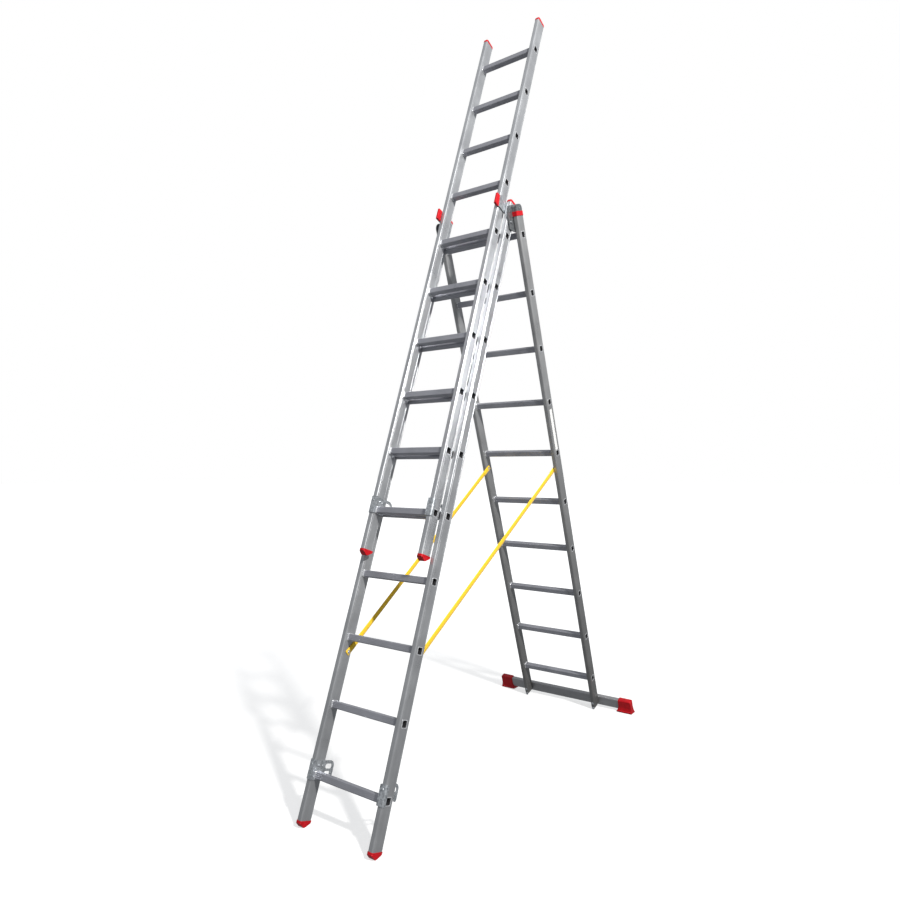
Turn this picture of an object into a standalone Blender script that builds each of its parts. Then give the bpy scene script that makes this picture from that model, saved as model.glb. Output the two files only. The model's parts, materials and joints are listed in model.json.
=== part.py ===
"""Three-section aluminium combination ladder, standing open as a trestle with its top section raised.

World frame: X runs along the rungs, Y from the front leg towards the rear leg, Z up, Z = 0 on the floor.
Each section is drawn flat in its own frame, whose origin lies on the hinge axis: X along the rungs,
Y from the section's front to its back, Z up along the stiles. An empty then leans the frame.
"""
from math import cos, pi, radians, sin, tan

import bpy
import bmesh
from mathutils import Vector

# ---- driving dimensions, in metres and degrees ----
RUNG_COUNT = 10
RUNG_PITCH = 0.280
RUNG_SIZE = 0.029
RUNG_CORNER = 0.004
RUNG_WALL = 0.0015

STILE_WIDTH = 0.0255            # across the rungs
STILE_DEPTH = 0.058             # front to back
STILE_WALL = 0.0018
STILE_FRONT_RADIUS = 0.007
STILE_BACK_RADIUS = 0.003
STILE_BELOW_LAST_RUNG = 0.175
EXTENSION_BELOW_LAST_RUNG = 0.182
STILE_ABOVE_FIRST_RUNG = 0.180
REAR_STILE_BELOW_LAST_RUNG = 0.191
REAR_STILE_ABOVE_FIRST_RUNG = 0.100

EXTENSION_WIDTH = 0.3465        # over the outer webs
FRONT_WIDTH = 0.410
REAR_WIDTH = 0.476
NEST_OFFSET = 0.0505            # between the mid-planes of neighbouring sections

FRONT_LEAN = 20.1
REAR_LEAN = 19.3
PIVOT_HEIGHT = 2.6263
PIVOT_Y = -0.0310               # centres the whole ladder on the origin
PIVOT_ABOVE_FRONT_RUNG = 0.0775
PIVOT_ABOVE_REAR_RUNG = 0.065
RAISED_RUNGS = 4

GAP = 0.0003                    # left between touching pieces
CAP_WALL = 0.0022
CAP_PLUG = 0.022
TOP_CAP_COLLAR = 0.011
TOP_CAP_DOME = 0.007
FOOT_DEPTH = 0.030
FOOT_RIDGE_RADIUS = 0.010       # the blunt ridge under a foot, across the stile
FOOT_RIDGE_Y = -0.004
FOOT_RIDGE_Z = -0.016
REAR_CAP_ABOVE = 0.010

PLATE = 0.003                   # steel of hooks, guides and hinge plates
HOOK_BELOW = 0.019
HOOK_ABOVE = 0.0575
HOOK_LIP = 0.0145
HOOK_SLOT = RUNG_SIZE + 0.002
HOOK_REACH = 0.0835             # from the stile's mid-plane to the hook's back edge
HOOK_TIP = -0.011
EYE_Y = 0.053                   # oval eye above the hook's mouth
EYE_Z = 0.0345
EYE_RADIUS = 0.010
EYE_STRETCH = 0.009

GUIDE_BOTTOM = 0.035            # heights above the first front rung
GUIDE_ARM_BOTTOM = 0.120
GUIDE_ARM_TOP = 0.194
GUIDE_PLAY = 0.0035
NOSE_DEPTH = 0.0265             # red grip on the guide, front to back
NOSE_OVERLAP = 0.007            # over the extension stile's front face

STUD_RADIUS = 0.005
STUD_PLAY = 0.0003
HEAD_RADIUS = 0.009
ROUND_STEPS = 32

BAR_HALF_LENGTH = 0.428
BAR_HEIGHT = 0.058
BAR_DEPTH = 0.0255
BAR_TOP = -2.735                # along the rear stile, from the hinge axis
FOOT_INNER_X = 0.360
FOOT_OUTER_X = 0.440
FOOT_WALL = 0.005

STRAP_WIDTH = 0.025
STRAP_THICKNESS = 0.0018
STRAP_BELOW_PIVOT_FRONT = 2.0975
STRAP_BELOW_PIVOT_REAR = 1.270
STRAP_TAIL = 0.028              # length sewn flat against each stile

# ---- colours and finishes: base colour, metallic, roughness ----
FINISHES = {
    "aluminium": ((0.78, 0.79, 0.80), 1.0, 0.34),
    "zinc_steel": ((0.62, 0.65, 0.67), 1.0, 0.42),
    "red_plastic": ((0.72, 0.015, 0.02), 0.0, 0.38),
    "yellow_webbing": ((0.92, 0.68, 0.01), 0.0, 0.75),
}
SIDES = {"left": -1, "right": 1}


# ---- helpers ----
def clear_scene():
    for thing in list(bpy.data.objects):
        bpy.data.objects.remove(thing, do_unlink=True)


def make_materials():
    made = {}
    for name, (colour, metallic, roughness) in FINISHES.items():
        material = bpy.data.materials.new(name)
        material.use_nodes = True
        shader = material.node_tree.nodes["Principled BSDF"]
        shader.inputs["Base Color"].default_value = (*colour, 1.0)
        shader.inputs["Metallic"].default_value = metallic
        shader.inputs["Roughness"].default_value = roughness
        made[name] = material
    return made


def section_frame(name, lean):
    """Empty on the hinge axis whose Z runs up the section's stiles; positive lean tips the top back."""
    frame = bpy.data.objects.new(name, None)
    frame.location = (0.0, PIVOT_Y, PIVOT_HEIGHT)
    frame.rotation_euler = (-radians(lean), 0.0, 0.0)
    bpy.context.scene.collection.objects.link(frame)
    return frame


def add_object(name, bm, material, parent, location=(0.0, 0.0, 0.0)):
    bmesh.ops.recalc_face_normals(bm, faces=bm.faces)
    mesh = bpy.data.meshes.new(name)
    bm.to_mesh(mesh)
    bm.free()
    thing = bpy.data.objects.new(name, mesh)
    bpy.context.scene.collection.objects.link(thing)
    thing.parent = parent
    thing.location = location
    if material is not None:
        mesh.materials.append(material)
    mesh.shade_smooth()
    mesh.set_sharp_from_angle(angle=radians(35))
    return thing


def cut(thing, cutter):
    cutter.hide_render = True
    cutter.display_type = "WIRE"
    boolean = thing.modifiers.new("cut_" + cutter.name, "BOOLEAN")
    boolean.operation = "DIFFERENCE"
    boolean.solver = "EXACT"
    boolean.object = cutter


def arc(centre, radius, start, end, steps):
    """Points of an arc, in degrees, both ends included."""
    angles = [radians(start + (end - start) * i / steps) for i in range(steps + 1)]
    return [(centre[0] + radius * cos(a), centre[1] + radius * sin(a)) for a in angles]


def rounded_outline(width, depth, front_radius, back_radius, front_steps=3, back_steps=1):
    """Anticlockwise outline in (x, y), the front at -y."""
    x = width / 2
    y = depth / 2
    front = front_radius
    back = back_radius
    points = arc((-x + front, -y + front), front, 180, 270, front_steps)
    points += arc((x - front, -y + front), front, 270, 360, front_steps)
    points += arc((x - back, y - back), back, 0, 90, back_steps)
    points += arc((-x + back, y - back), back, 90, 180, back_steps)
    return points


def loft(bm, rings):
    """Skin rings of equal length into one closed body with flat ends."""
    loops = [[bm.verts.new(point) for point in ring] for ring in rings]
    count = len(loops[0])
    for lower, upper in zip(loops, loops[1:]):
        for i in range(count):
            j = (i + 1) % count
            bm.faces.new((lower[i], lower[j], upper[j], upper[i]))
    bm.faces.new(list(reversed(loops[0])))
    bm.faces.new(loops[-1])


def tube(bm, outer_rings, inner_rings):
    """Wall between two lofts that share their ends, open along its length."""
    outer = [[bm.verts.new(point) for point in ring] for ring in outer_rings]
    inner = [[bm.verts.new(point) for point in ring] for ring in inner_rings]
    count = len(outer[0])
    for i in range(count):
        j = (i + 1) % count
        bm.faces.new((outer[0][i], outer[0][j], outer[1][j], outer[1][i]))
        bm.faces.new((inner[0][j], inner[0][i], inner[1][i], inner[1][j]))
        bm.faces.new((outer[0][j], outer[0][i], inner[0][i], inner[0][j]))
        bm.faces.new((outer[1][i], outer[1][j], inner[1][j], inner[1][i]))


def plate(bm, outline, x_low, x_high):
    """Flat plate: an outline in (y, z) given a thickness along x."""
    loft(bm, [[(x, y, z) for y, z in outline] for x in (x_low, x_high)])


def box(bm, low, high):
    corners = [(low[0], low[1]), (high[0], low[1]), (high[0], high[1]), (low[0], high[1])]
    loft(bm, [[(x, y, z) for x, y in corners] for z in (low[2], high[2])])


def mirror_x(bm, side):
    if side < 0:
        bmesh.ops.scale(bm, vec=Vector((-1.0, 1.0, 1.0)), verts=bm.verts)


def section_rung_heights(first_rung):
    return [first_rung - i * RUNG_PITCH for i in range(RUNG_COUNT)]


# ---- stiles and rungs ----
def stile_outline(grow=0.0):
    """The stile's outer outline, grown outwards by a distance."""
    return rounded_outline(
        STILE_WIDTH + 2 * grow, STILE_DEPTH + 2 * grow, STILE_FRONT_RADIUS + grow, STILE_BACK_RADIUS + grow
    )


def make_stile(name, frame, material, side, width, mid_y, low, high, cutters):
    centre_x = side * (width - STILE_WIDTH) / 2
    bm = bmesh.new()
    shape = [[(x, y, z) for x, y in stile_outline()] for z in (low, high)]
    hollow = [[(x, y, z) for x, y in stile_outline(-STILE_WALL)] for z in (low, high)]
    tube(bm, shape, hollow)
    stile = add_object(name, bm, material, frame, (centre_x, mid_y, 0.0))
    for cutter in cutters:
        cut(stile, cutter)
    return stile


def rung_outline(size, corner):
    return rounded_outline(size, size, corner, corner, 1, 1)


def make_rung(name, frame, material, width, mid_y, height):
    bm = bmesh.new()
    half = width / 2
    outer = rung_outline(RUNG_SIZE, RUNG_CORNER)
    inner = rung_outline(RUNG_SIZE - 2 * RUNG_WALL, RUNG_CORNER - RUNG_WALL)
    shape = [[(x, y, z) for y, z in outer] for x in (-half, half)]
    hollow = [[(x, y, z) for y, z in inner] for x in (-half, half)]
    tube(bm, shape, hollow)
    return add_object(name, bm, material, frame, (0.0, mid_y, height))


def rung_cutter(name, frame, width, mid_y, heights):
    """Bars that punch every rung hole of a section through its webs."""
    bm = bmesh.new()
    outline = rung_outline(RUNG_SIZE + 2 * GAP, RUNG_CORNER + GAP)
    for height in heights:
        loft(bm, [[(x, y, z + height) for y, z in outline] for x in (-width, width)])
    return add_object(name, bm, None, frame, (0.0, mid_y, 0.0))


def make_section(label, frame, material, width, mid_y, first_rung, above, below, extra_cutters=()):
    heights = section_rung_heights(first_rung)
    cutters = [rung_cutter(label + "_rung_cutter", frame, width, mid_y, heights), *extra_cutters]
    for word, side in SIDES.items():
        make_stile(
            f"{label}_stile_{word}", frame, material, side, width, mid_y,
            heights[-1] - below, heights[0] + above, cutters,
        )
    for number, height in enumerate(heights, start=1):
        make_rung(f"{label}_rung_{number:02d}", frame, material, width, mid_y, height)


# ---- plastic caps ----
def top_cap_rings():
    """Plug, collar and low dome of an upper end cap, from the plug's end upwards."""
    plug = stile_outline(-STILE_WALL - GAP)
    collar = stile_outline()
    rings = [(plug, -CAP_PLUG), (plug, GAP), (collar, GAP), (collar, TOP_CAP_COLLAR)]
    for turn in (30, 60, 80):
        shrink = cos(radians(turn))
        outline = [(x * (0.25 + 0.75 * shrink), y * shrink) for x, y in collar]
        rings.append((outline, TOP_CAP_COLLAR + TOP_CAP_DOME * sin(radians(turn))))
    return [[(x, y, z) for x, y in outline] for outline, z in rings]


def slice_off(bm, point, normal):
    """Remove what lies on the normal's side of a plane and close the cut."""
    geometry = bm.verts[:] + bm.edges[:] + bm.faces[:]
    cut_parts = bmesh.ops.bisect_plane(bm, geom=geometry, plane_co=point, plane_no=normal, clear_outer=True)
    edges = [part for part in cut_parts["geom_cut"] if isinstance(part, bmesh.types.BMEdge)]
    bmesh.ops.contextual_create(bm, geom=edges)


def make_cap(name, frame, material, side, width, mid_y, end_z, upward):
    """Push-in cap on a stile's end: a low dome on top, a collar with a blunt ridge underneath."""
    bm = bmesh.new()
    if upward > 0:
        loft(bm, top_cap_rings())
    else:
        plug = stile_outline(-STILE_WALL - GAP)
        collar = stile_outline(CAP_WALL)
        rings = [(plug, CAP_PLUG), (plug, -GAP), (collar, -GAP), (collar, -FOOT_DEPTH)]
        loft(bm, [[(x, y, z) for x, y in outline] for outline, z in rings])
        for turn in (-35, -22, -9, 4, 17, 30):
            normal = Vector((0.0, sin(radians(turn)), -cos(radians(turn))))
            slice_off(bm, Vector((0.0, FOOT_RIDGE_Y, FOOT_RIDGE_Z)) + normal * FOOT_RIDGE_RADIUS, normal)
    return add_object(name, bm, material, frame, (side * (width - STILE_WIDTH) / 2, mid_y, end_z))


def make_floor_cutter(frame):
    """Everything under the floor, which trims the front feet to a flat sole."""
    bm = bmesh.new()
    low = -PIVOT_HEIGHT / cos(radians(FRONT_LEAN))
    rise = tan(radians(FRONT_LEAN))
    reach = 0.2
    outline = [
        (-reach, low - reach * rise), (-reach, low - 1.0), (reach, low - 1.0), (reach, low + reach * rise),
    ]
    plate(bm, outline, -FRONT_WIDTH, FRONT_WIDTH)
    return add_object("floor_cutter", bm, None, frame)


def make_rear_cap(name, frame, material, side, end_z):
    """Band over the rear stile's top, open on the inner side where the hinge plate lies."""
    bm = bmesh.new()
    band_below = 0.012
    band_above = REAR_CAP_ABOVE
    outer_x = REAR_WIDTH / 2
    inner_x = outer_x - STILE_WIDTH
    front = NEST_OFFSET - STILE_DEPTH / 2
    back = NEST_OFFSET + STILE_DEPTH / 2
    wall = 2 * CAP_WALL
    outline = [
        (inner_x, front - wall), (outer_x - 0.004, front - wall), (outer_x + wall, front + 0.004),
        (outer_x + wall, back), (outer_x, back + wall), (inner_x, back + wall),
    ]
    loft(bm, [[(x, y, end_z + z) for x, y in outline] for z in (-band_below, band_above)])
    mirror_x(bm, side)
    cap = add_object(name, bm, material, frame)
    socket = bmesh.new()
    box(
        socket, (inner_x - 0.01, front - GAP, end_z - 2 * band_below), (outer_x + GAP, back + GAP, end_z + GAP)
    )
    mirror_x(socket, side)
    cut(cap, add_object(name + "_socket", socket, None, frame))
    return cap


# ---- steel hooks, guides and hinge plates ----
def hook_outline():
    """Side view of a hook plate in (y, z): it hangs over the rung of the section behind."""
    front = -STILE_DEPTH / 2 - GAP - PLATE
    slot_front = NEST_OFFSET - HOOK_SLOT / 2
    slot_back = NEST_OFFSET + HOOK_SLOT / 2
    slot_top = RUNG_SIZE / 2 + 0.0008
    corner = 0.004
    prong = HOOK_REACH - slot_back
    points = [(front, -HOOK_BELOW), (slot_front - 0.004, -HOOK_BELOW), (slot_front, -HOOK_BELOW + 0.004)]
    points += arc((slot_front + corner, slot_top - corner), corner, 180, 90, 2)
    points += arc((slot_back - corner, slot_top - corner), corner, 90, 0, 2)
    points += arc((slot_back + prong / 2, HOOK_TIP + prong / 2), prong / 2, 180, 360, 4)
    round_top = 0.024
    points += arc((HOOK_REACH - round_top, HOOK_ABOVE - round_top), round_top, 0, 90, 4)
    points += [(front, HOOK_ABOVE)]
    return points


def make_hook(name, frame, material, side, width, mid_y, height):
    """U-shaped bracket round the stile's front whose inner cheek ends in a hook."""
    outer_x = width / 2
    inner_x = outer_x - STILE_WIDTH
    front = -STILE_DEPTH / 2 - GAP
    bm = bmesh.new()
    plate(bm, hook_outline(), inner_x - GAP - PLATE, inner_x - GAP)
    mirror_x(bm, side)
    hook = add_object(name, bm, material, frame, (0.0, mid_y, height))
    wrap = bmesh.new()
    outline = [
        (inner_x - GAP - PLATE / 2, front - PLATE), (outer_x + GAP + PLATE, front - PLATE),
        (outer_x + GAP + PLATE, front + HOOK_LIP), (outer_x + GAP, front + HOOK_LIP),
        (outer_x + GAP, front), (inner_x - GAP - PLATE / 2, front),
    ]
    loft(wrap, [[(x, y, z) for x, y in outline] for z in (-HOOK_BELOW, HOOK_ABOVE)])
    mirror_x(wrap, side)
    wrap_part = add_object(name + "_wrap", wrap, None, frame, (0.0, mid_y, height))
    join(hook, wrap_part)
    hole = bmesh.new()
    outline = rung_outline(RUNG_SIZE + 2 * GAP, RUNG_CORNER + GAP)
    loft(hole, [[(x, y, z) for y, z in outline] for x in (inner_x - 0.02, inner_x + 0.01)])
    mirror_x(hole, side)
    cut(hook, add_object(name + "_hole", hole, None, frame, (0.0, mid_y, height)))
    eye = bmesh.new()
    outline = arc((EYE_Y + EYE_STRETCH, EYE_Z), EYE_RADIUS, -90, 90, 5)
    outline += arc((EYE_Y - EYE_STRETCH, EYE_Z), EYE_RADIUS, 90, 270, 5)
    plate(eye, outline, inner_x - 0.02, inner_x + 0.01)
    mirror_x(eye, side)
    cut(hook, add_object(name + "_eye", eye, None, frame, (0.0, mid_y, height)))
    return hook


def join(thing, other):
    """Union another solid into a piece."""
    other.hide_render = True
    other.display_type = "WIRE"
    boolean = thing.modifiers.new("join_" + other.name, "BOOLEAN")
    boolean.operation = "UNION"
    boolean.solver = "EXACT"
    boolean.object = other


def make_guide(name, frame, material, side):
    """Plate on the front stile's inner web that reaches past the extension's stile and grips its front."""
    first = -PIVOT_ABOVE_FRONT_RUNG
    bottom = first + GUIDE_BOTTOM
    arm_bottom = first + GUIDE_ARM_BOTTOM
    arm_top = first + GUIDE_ARM_TOP
    web_x = FRONT_WIDTH / 2 - STILE_WIDTH - GAP
    stile_front = -STILE_DEPTH / 2
    pad_back = -NEST_OFFSET - STILE_DEPTH / 2 - GUIDE_PLAY
    pad_front = pad_back - NOSE_DEPTH
    bm = bmesh.new()
    stile_top = first + STILE_ABOVE_FIRST_RUNG
    outline = [
        (0.022, bottom), (0.022, stile_top - 0.001), (stile_front - 0.0025, stile_top - 0.001),
        (stile_front - 0.0025, arm_top - 0.012), (pad_back + 0.002, arm_top - 0.012),
        (pad_back - 0.004, arm_top - 0.024), (pad_back - 0.004, arm_bottom), (stile_front, arm_bottom),
        (-0.008, arm_bottom - 0.018), (-0.008, bottom),
    ]
    plate(bm, outline, web_x - PLATE, web_x)
    mirror_x(bm, side)
    guide = add_object(name, bm, material, frame)
    nose_inner = EXTENSION_WIDTH / 2 - NOSE_OVERLAP
    nose_outer = web_x - 0.001
    pad = bmesh.new()
    pad_outline = [
        (nose_inner, pad_front + 0.003), (nose_inner + 0.003, pad_front), (nose_outer - 0.003, pad_front),
        (nose_outer, pad_front + 0.003), (nose_outer, pad_back), (nose_inner, pad_back),
    ]
    loft(pad, [[(x, y, z) for x, y in pad_outline] for z in (arm_bottom - 0.002, arm_top - 0.019)])
    mirror_x(pad, side)
    join(guide, add_object(name + "_pad", pad, None, frame))
    return guide


def make_hinge_plate(name, frame, material, side):
    """Steel plate on the rear stile's inner web, with the pivot stud and a rounded head over the stile."""
    web_x = REAR_WIDTH / 2 - STILE_WIDTH - GAP
    back = NEST_OFFSET + STILE_DEPTH / 2
    top = 0.077
    round_top = 0.022
    bm = bmesh.new()
    outline = [(-0.024, -0.030), (0.005, -0.044), (0.030, -0.049), (back - 0.010, -0.049)]
    outline += arc((back - round_top, top - round_top), round_top, 0, 90, 4)
    outline += arc((-0.024 + 0.030, top - 0.030), 0.030, 90, 180, 4)
    plate(bm, outline, web_x - PLATE, web_x)
    mirror_x(bm, side)
    hinge = add_object(name, bm, material, frame)
    head = bmesh.new()
    front = NEST_OFFSET - STILE_DEPTH / 2
    bottom = REAR_STILE_ABOVE_FIRST_RUNG - PIVOT_ABOVE_REAR_RUNG + REAR_CAP_ABOVE + GAP
    head_outline = [(front, bottom), (back, bottom)]
    head_outline += arc((back - round_top, top - round_top), round_top, 20, 90, 3)
    head_outline += arc((front + 0.012, top - 0.012), 0.012, 90, 170, 2)
    plate(head, head_outline, web_x - PLATE / 2, REAR_WIDTH / 2)
    mirror_x(head, side)
    join(hinge, add_object(name + "_head", head, None, frame))
    stud = bmesh.new()
    shank = FRONT_WIDTH / 2 - 0.008
    profile = [(shank, STUD_RADIUS), (web_x - PLATE / 2, STUD_RADIUS)]
    rings = [[(x, r * cos(a), r * sin(a)) for a in turns(ROUND_STEPS)] for x, r in profile]
    loft(stud, rings)
    mirror_x(stud, side)
    join(hinge, add_object(name + "_stud", stud, None, frame))
    boss = bmesh.new()
    profile = [(web_x - PLATE / 2, HEAD_RADIUS), (web_x + 0.002, HEAD_RADIUS), (web_x + 0.004, HEAD_RADIUS * 0.6)]
    rings = [[(x, r * cos(a), r * sin(a)) for a in turns(ROUND_STEPS)] for x, r in profile]
    loft(boss, rings)
    mirror_x(boss, side)
    join(hinge, add_object(name + "_boss", boss, None, frame))
    return hinge


def turns(count):
    return [2 * pi * (i + 0.5) / count for i in range(count)]


def stud_cutter(frame):
    """Holes for both pivot studs in the front stiles' outer webs."""
    bm = bmesh.new()
    radius = STUD_RADIUS + STUD_PLAY
    for side in SIDES.values():
        ends = (side * (FRONT_WIDTH / 2 - STILE_WIDTH / 2), side * (FRONT_WIDTH / 2 + 0.01))
        loft(bm, [[(x, radius * cos(a), radius * sin(a)) for a in turns(ROUND_STEPS)] for x in ends])
    return add_object("stud_cutter", bm, None, frame)


# ---- stabiliser ----
def bar_box(grow):
    front = NEST_OFFSET + STILE_DEPTH / 2 + GAP
    low = (-BAR_HALF_LENGTH - grow, front - grow, BAR_TOP - BAR_HEIGHT - grow)
    high = (BAR_HALF_LENGTH + grow, front + BAR_DEPTH + grow, BAR_TOP + grow)
    return low, high


def make_bar(frame, material):
    low, high = bar_box(0.0)
    bm = bmesh.new()
    centre = Vector(((0.0), (low[1] + high[1]) / 2, (low[2] + high[2]) / 2))
    outer = rounded_outline(BAR_DEPTH, BAR_HEIGHT, 0.004, 0.004, 2, 2)
    inner = rounded_outline(BAR_DEPTH - 2 * STILE_WALL, BAR_HEIGHT - 2 * STILE_WALL, 0.0022, 0.0022, 2, 2)
    tube(bm, *[[[(x, y, z) for y, z in ring] for x in (low[0], high[0])] for ring in (outer, inner)])
    return add_object("stabiliser_bar", bm, material, frame, centre)


def floor_z(y):
    """Height along the rear section of the floor, at a distance behind the hinge axis."""
    return (-PIVOT_HEIGHT - y * sin(radians(REAR_LEAN))) / cos(radians(REAR_LEAN))


def make_foot(name, frame, material, side):
    """Plastic shoe: a sleeve on the bar's end that flares into a flat sole on the floor."""
    low, high = bar_box(FOOT_WALL)
    waist = BAR_TOP - BAR_HEIGHT + 0.012
    flare = 0.010
    chamfer = 0.006

    def ring(grow, height):
        x0 = FOOT_INNER_X - grow
        x1 = FOOT_OUTER_X + grow * 0.3
        y0 = low[1] - grow
        y1 = high[1] + grow
        return [(x, y, height(y)) for x, y in ((x0, y0), (x1, y0), (x1, y1), (x0, y1))]

    rings = [
        ring(flare, floor_z), ring(flare, lambda y: floor_z(y) + 0.009), ring(0.0, lambda y: waist),
        ring(0.0, lambda y: high[2] - chamfer), ring(-chamfer, lambda y: high[2]),
    ]
    bm = bmesh.new()
    loft(bm, rings)
    mirror_x(bm, side)
    foot = add_object(name, bm, material, frame)
    socket = bmesh.new()
    pocket_low, pocket_high = bar_box(GAP)
    box(socket, (FOOT_INNER_X - 0.05, *pocket_low[1:]), (BAR_HALF_LENGTH + GAP, *pocket_high[1:]))
    mirror_x(socket, side)
    cut(foot, add_object(name + "_socket", socket, None, frame))
    return foot


# ---- straps ----
def in_front_frame(y, z):
    """World (y, z) of a point of the front section."""
    a = radians(FRONT_LEAN)
    return PIVOT_Y + y * cos(a) + z * sin(a), PIVOT_HEIGHT - y * sin(a) + z * cos(a)


def in_rear_frame(y, z):
    a = radians(REAR_LEAN)
    return PIVOT_Y + y * cos(a) - z * sin(a), PIVOT_HEIGHT + y * sin(a) + z * cos(a)


def make_strap(name, material, side):
    """Taut band between the inner webs of the front and rear stiles; its width lies in the side plane."""
    front_y, front_z = in_front_frame(0.010, -STRAP_BELOW_PIVOT_FRONT)
    rear_y, rear_z = in_rear_frame(NEST_OFFSET - 0.008, -STRAP_BELOW_PIVOT_REAR)
    run = Vector((0.0, rear_y - front_y, rear_z - front_z))
    along = run.normalized()
    across = Vector((0.0, -along.z, along.y))
    front_x = FRONT_WIDTH / 2 - STILE_WIDTH - 0.0012
    rear_x = REAR_WIDTH / 2 - STILE_WIDTH - 0.0012
    stations = [(0.0, front_x), (STRAP_TAIL, front_x), (run.length - STRAP_TAIL, rear_x), (run.length, rear_x)]
    bm = bmesh.new()
    rings = []
    for distance, x in stations:
        centre = Vector((x, front_y, front_z)) + along * distance
        offsets = [(0.0, 1), (0.0, -1), (-STRAP_THICKNESS, -1), (-STRAP_THICKNESS, 1)]
        rings.append([centre + Vector((dx, 0.0, 0.0)) + across * (s * STRAP_WIDTH / 2) for dx, s in offsets])
    loft(bm, rings)
    mirror_x(bm, side)
    return add_object(name, bm, material, None)


# ---- the ladder ----
def main():
    clear_scene()
    finish = make_materials()
    metal = finish["aluminium"]
    steel = finish["zinc_steel"]
    red = finish["red_plastic"]
    front = section_frame("front_frame", FRONT_LEAN)
    extension = section_frame("extension_frame", FRONT_LEAN)
    rear = section_frame("rear_frame", -REAR_LEAN)

    front_first = -PIVOT_ABOVE_FRONT_RUNG
    raised_first = front_first + RAISED_RUNGS * RUNG_PITCH
    rear_first = -PIVOT_ABOVE_REAR_RUNG
    last = (RUNG_COUNT - 1) * RUNG_PITCH

    make_section(
        "front", front, metal, FRONT_WIDTH, 0.0, front_first,
        STILE_ABOVE_FIRST_RUNG, STILE_BELOW_LAST_RUNG, [stud_cutter(front)],
    )
    make_section(
        "extension", extension, metal, EXTENSION_WIDTH, -NEST_OFFSET, raised_first,
        STILE_ABOVE_FIRST_RUNG, EXTENSION_BELOW_LAST_RUNG,
    )
    make_section(
        "rear", rear, metal, REAR_WIDTH, NEST_OFFSET, rear_first,
        REAR_STILE_ABOVE_FIRST_RUNG, REAR_STILE_BELOW_LAST_RUNG,
    )
    floor = make_floor_cutter(front)
    for word, side in SIDES.items():
        foot_z = front_first - last - STILE_BELOW_LAST_RUNG
        top_z = front_first + STILE_ABOVE_FIRST_RUNG
        foot = make_cap(f"front_foot_{word}", front, red, side, FRONT_WIDTH, 0.0, foot_z, -1)
        cut(foot, floor)
        make_cap(f"front_top_cap_{word}", front, red, side, FRONT_WIDTH, 0.0, top_z, 1)
        rise = RAISED_RUNGS * RUNG_PITCH
        bottom_z = raised_first - last - EXTENSION_BELOW_LAST_RUNG
        for label, end_z, upward in (("bottom", bottom_z, -1), ("top", top_z + rise, 1)):
            make_cap(
                f"extension_{label}_cap_{word}", extension, red, side, EXTENSION_WIDTH, -NEST_OFFSET, end_z, upward
            )
        make_rear_cap(f"rear_cap_{word}", rear, red, side, rear_first + REAR_STILE_ABOVE_FIRST_RUNG)
        make_hook(f"front_hook_{word}", front, steel, side, FRONT_WIDTH, 0.0, front_first - last)
        make_hook(
            f"extension_hook_{word}", extension, steel, side, EXTENSION_WIDTH, -NEST_OFFSET, raised_first - last
        )
        make_guide(f"front_guide_{word}", front, steel, side)
        make_hinge_plate(f"hinge_plate_{word}", rear, steel, side)
        make_foot(f"stabiliser_foot_{word}", rear, red, side)
        make_strap(f"strap_{word}", finish["yellow_webbing"], side)
    make_bar(rear, metal)


main()
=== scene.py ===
"""Finished look of the three-section combination ladder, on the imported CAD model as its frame.

Every piece is drawn in its section's own frame: X along the rungs, Y from the section's front to its
back, Z up along the stiles, origin on the hinge axis. The section's matrix then leans it into place.
"""

import json
from math import atan2, cos, pi, radians, sin

import bmesh
import bpy
from mathutils import Matrix, Vector


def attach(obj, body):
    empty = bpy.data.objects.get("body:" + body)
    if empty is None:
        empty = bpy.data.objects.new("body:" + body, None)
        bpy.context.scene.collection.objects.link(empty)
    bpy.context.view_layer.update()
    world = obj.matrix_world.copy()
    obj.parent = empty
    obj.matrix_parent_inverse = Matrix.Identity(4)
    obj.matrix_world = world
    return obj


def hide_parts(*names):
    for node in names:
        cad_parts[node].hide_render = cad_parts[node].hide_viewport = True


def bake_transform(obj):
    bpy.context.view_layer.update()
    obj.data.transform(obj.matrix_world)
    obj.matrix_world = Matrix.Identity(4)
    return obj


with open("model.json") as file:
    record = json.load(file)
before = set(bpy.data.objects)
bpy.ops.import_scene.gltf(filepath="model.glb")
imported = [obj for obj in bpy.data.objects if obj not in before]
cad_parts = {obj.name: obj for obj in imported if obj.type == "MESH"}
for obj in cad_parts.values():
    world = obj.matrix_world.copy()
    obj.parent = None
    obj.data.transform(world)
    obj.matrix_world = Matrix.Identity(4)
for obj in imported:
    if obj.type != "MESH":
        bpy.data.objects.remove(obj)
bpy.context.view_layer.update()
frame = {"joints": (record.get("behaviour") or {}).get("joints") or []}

# ---- sizes, in metres ----
RUNGS = 10
PITCH = 0.280
RUNG = 0.029
RUNG_WALL = 0.0015
STILE_W = 0.0255        # across the rungs
STILE_D = 0.058         # front to back
WALL = 0.0018
GROOVES = (-0.0185, 0.0225)
GAP = 0.0003            # left between touching pieces
PLATE = 0.003           # steel of hooks, guides and hinge plates
NEST = 0.0505           # between the mid-planes of neighbouring sections
WIDTH = {"extension": 0.3465, "front": 0.410, "rear": 0.476}
OFFSET = {"extension": -NEST, "front": 0.0, "rear": NEST}
FIRST = {"extension": 1.0425, "front": -0.0775, "rear": -0.065}
ABOVE = {"extension": 0.180, "front": 0.180, "rear": 0.100}
BELOW = {"extension": 0.182, "front": 0.175, "rear": 0.191}
CAP_COLLAR = 0.0110
CAP_DOME = 0.0070
FOOT_COLLAR = 0.0022
FOOT_DEPTH = 0.030
FOOT_RIDGE_RADIUS = 0.010
HOOK_BELOW = 0.019
HOOK_ABOVE = 0.0575
NOSE_DEPTH = 0.0265     # red grip on the guide, front to back
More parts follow.
